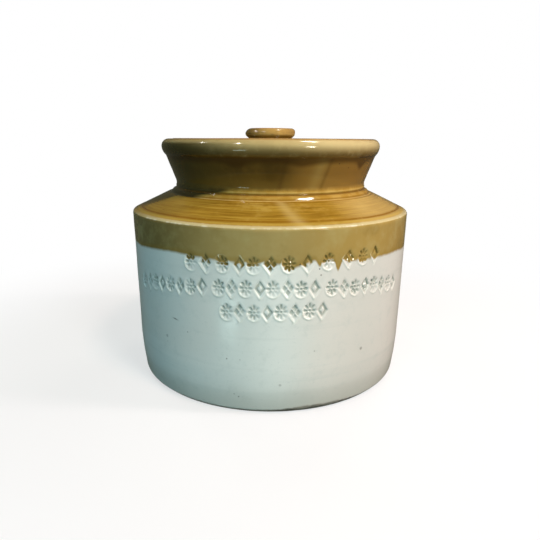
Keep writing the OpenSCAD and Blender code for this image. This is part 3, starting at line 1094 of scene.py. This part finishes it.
def lid_glaze(name, bare_below, main_tone, light_tone, shade_below):
    """Ochre glaze above a bare underside, with paler turned edges and painted shade below and on
    the left.
    """
    f = Finish(name)
    vector, (x, y, z) = f.place()
    r = (x * x + y * y) ** 0.5
    fine, slow = f.noise(vector, 140, 3, 0.6), f.noise(vector, 30, 2)
    mottle = f.noise(vector, 260, 2, 0.6)
    turned = f.noise(f.vector(r * 420, f.noise(vector, 9, 1) * 2, 1.7), 1.0, 3, 0.7)
    ring, crest = f.attribute("ring"), f.attribute("crest")
    dirt = f.cells(vector, 190).ramp(0.13, 0.05) * f.noise(vector, 60, 1).ramp(0.5, 0.6)
    line = bare_below + f.noise(vector, 90, 2).wander(1.4 * MM)
    bare = (z - line).ramp(0.3 * MM, -0.3 * MM)
    colour = f.coats(
        OCHRE_DARK,
        (turned.ramp(0.3, 0.64), main_tone),
        (slow.ramp(0.4, 0.7) * 0.5, light_tone),
        (ring.ramp(0.2, 1.0) * 0.4, light_tone),
        (mottle.ramp(0.48, 0.66) * 0.5, light_tone),
        (mottle.ramp(0.42, 0.3) * 0.5, BROWN),
        (crest.ramp(0.12, 0.34) * 0.4, RIM_TAN),
        (crest.ramp(-0.08, -0.3) * 0.6, BROWN),
        # Painted shade below the nose and on the left side.
        (z.ramp(shade_below + 0.8 * MM, shade_below - 1.2 * MM) * 0.85, BROWN),
        ((x / r).ramp(-0.2, -0.9) * 0.6, BROWN),
        (dirt * 0.85, IRON),
        (bare, seat_clay(f, slow)),
    )
    relief = f.noise(vector, 240, 2) * 0.3 + f.noise(vector, 70, 2) - dirt + (1 - bare) * 0.9
    roughness = 0.07 + fine * 0.05 + bare * 0.5
    return f.glassy(colour, roughness, relief, 0.7)


plate.data.materials.append(lid_glaze(
    "lid_ochre_glaze", PLATE_TOP - 3.4 * MM, OCHRE, OCHRE_LIGHT, PLATE_TOP - 4 * MM))
knob.data.materials.append(lid_glaze(
    "knob_ochre_glaze", PLATE_TOP - 4 * MM, KNOB_TONE, KNOB_LIGHT, NOSE_Z - 1.2 * MM))


# %% [markdown]
# Each piece rides on the body that carries it, so that the lid can be lifted, and takes the place
# of the frame's own solid.

# %% Ride and replace
for piece, body, node in (
        (jar, "jar", "jar_body"), (plate, "lid", "lid_plate"), (knob, "lid", "lid_knob")):
    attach(piece, body)
    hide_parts(node)


# %% [markdown]
# The camera stands where the photographer stood. Fitting the jar's outline gave a lens close to 33
# mm, a distance of 37 cm from the axis, the height of the rim and a tilt of 15 degrees down.

# %% Camera
CAMERA_AT = (0.25 * MM, -371.9 * MM, 166.0 * MM)
TILT_DEG, ROLL_DEG = 14.78, 0.45
camera_data = bpy.data.cameras.new("camera")
camera_data.lens, camera_data.sensor_width = 32.88, 36
camera_data.clip_start = 0.01
camera = bpy.data.objects.new("camera", camera_data)
bpy.context.scene.collection.objects.link(camera)
camera.location = CAMERA_AT
camera.rotation_mode = "QUATERNION"
tilt = Quaternion((1, 0, 0), math.radians(90 - TILT_DEG))
roll = Quaternion((0, 0, 1), math.radians(ROLL_DEG))
camera.rotation_quaternion = tilt @ roll
bpy.context.scene.camera = camera
print("camera", round(-camera.location.y / MM), "mm from the jar's axis")

# %% [markdown]
# A white table in front of a white backdrop. The photograph shows a pot in a dim room, so both are
# seen by the camera and take the pot's shadow, but throw no light back on to the glaze. The
# backdrop is a large round shell, so the picture is white from every side.

# %% Table and backdrop
TABLE_R, TABLE_DROP, BACKDROP_R = 3, 0.05 * MM, 3.2
POOL_INNER, POOL_OUTER = 0.13, 0.42
GLOW_BY_POT = 0.62


def glow_mix(name, glow_share):
    """A matt white that also glows, so that it stays white in a dim room."""
    f = Finish(name)
    plain = f.node("ShaderNodeBsdfDiffuse", None, {"Color": (0.8, 0.8, 0.8, 1)})
    glow = f.node("ShaderNodeEmission", None, {"Color": (1, 1, 1, 1), "Strength": 1.0})
    return f.output(f.node("ShaderNodeMixShader", None, [glow_share(f), plain, glow]))


def away_from_pot(f):
    """The table only darkens close to the pot, and further off it is as white as the backdrop."""
    _, (x, y, _) = f.place()
    away = ((x * x + y * y) ** 0.5).ramp(POOL_INNER, POOL_OUTER)
    return GLOW_BY_POT + (1 - GLOW_BY_POT) * away


def camera_only(obj):
    """Keeps an object out of the pot's light and reflections."""
    for rays in ("diffuse", "glossy", "transmission", "shadow"):
        setattr(obj, "visible_" + rays, False)


deselect()
bpy.ops.mesh.primitive_circle_add(
    vertices=96, radius=TABLE_R, fill_type="NGON", location=(0, 0, -TABLE_DROP))
table = bpy.context.object
table.name = "table"
table.data.materials.append(glow_mix("white_table", away_from_pot))
deselect()
bpy.ops.mesh.primitive_uv_sphere_add(segments=48, ring_count=24, radius=BACKDROP_R)
backdrop = bpy.context.object
backdrop.name = "backdrop"
backdrop.data.materials.append(glow_mix("white_backdrop", lambda f: 1.0))
for obj in (table, backdrop):
    camera_only(obj)


# %% [markdown]
# The lights. Fitting one lamp at a time gave a low and a high softbox on the right, a third one
# further round, and two faint cool lights on the left. Two more light the back. The last five are
# only seen mirrored in the glaze: a low tube and a lamp above on the right, the table's gleam on
# the left, and two small lamps that leave bright dots.

# %% Lights
POT_MIDDLE = Vector((0, 0, 90 * MM))
LAMP_DISTANCE = 1.1
PANEL_POWER = 8.3
ABOVE = Vector((0.39, -0.12, 0.91))
ROOM_TONE, ROOM_STRENGTH = (0.84, 0.86, 0.60, 1), 0.10


def towards(azimuth_deg, height_deg):
    side, up = math.radians(azimuth_deg), math.radians(height_deg)
    return Vector((math.sin(side) * math.cos(up), -math.cos(side) * math.cos(up), math.sin(up)))


def lamp(name, way, size, energy, colour):
    """A lamp of size (width, height) that looks at the middle of the pot."""
    data = bpy.data.lights.new(name, "AREA")
    data.shape, (data.size, data.size_y) = "RECTANGLE", size
    data.energy, data.color = energy, colour
    obj = bpy.data.objects.new(name, data)
    bpy.context.scene.collection.objects.link(obj)
    obj.location = POT_MIDDLE + way * LAMP_DISTANCE
    obj.rotation_mode = "QUATERNION"
    obj.rotation_quaternion = way.to_track_quat("Z", "Y")
    return obj


def panel(name, way, size, strength):
    """A soft light that is too weak to be mirrored; strength is (red, green, blue)."""
    peak = max(strength)
    colour = [share / peak for share in strength]
    lamp(name, way, size, PANEL_POWER * peak, colour).visible_glossy = False


def gleam(name, way, size, energy, colour=(1, 1, 1)):
    """A lamp that is only seen mirrored in the glaze."""
    lamp(name, way, size, energy, colour).visible_diffuse = False


panel("key_low", towards(32, 22), (0.26, 0.10), (0.69, 0.78, 0.76))
panel("key_high", towards(36, 58), (0.18, 0.10), (0.62, 0.44, 0.36))
panel("right", towards(78, 36), (0.14, 0.14), (0.84, 0.72, 0.72))
panel("left_window", towards(-65, 8), (0.5, 0.5), (0.06, 0.12, 0.18))
panel("left_front", towards(-26, 18), (0.3, 0.3), (0.13, 0.26, 0.29))
panel("back_left", towards(-135, 30), (0.4, 0.4), (0.30, 0.32, 0.30))
panel("back_right", towards(150, 30), (0.4, 0.4), (0.40, 0.38, 0.35))
gleam("tube_low", towards(38, 8), (0.18, 0.03), 3.0, (1, 0.95, 0.85))
gleam("lamp_above", ABOVE, (0.17, 0.2), 7.0)
gleam("table_gleam", towards(-31, -20), (0.24, 0.06), 0.6, (0.75, 1.0, 0.95))
gleam("lamp_front", towards(-38, 45), (0.02, 0.02), 6.0)
gleam("lamp_left", towards(-88, 45), (0.02, 0.02), 6.0)
print(len(bpy.data.lights), "lamps stand round the pot")

world = bpy.data.worlds.new("dim_room")
bpy.context.scene.world = world
world.use_nodes = True
room = world.node_tree.nodes["Background"]
room.inputs[0].default_value, room.inputs[1].default_value = ROOM_TONE, ROOM_STRENGTH
bpy.context.scene.view_settings.view_transform = "Standard"
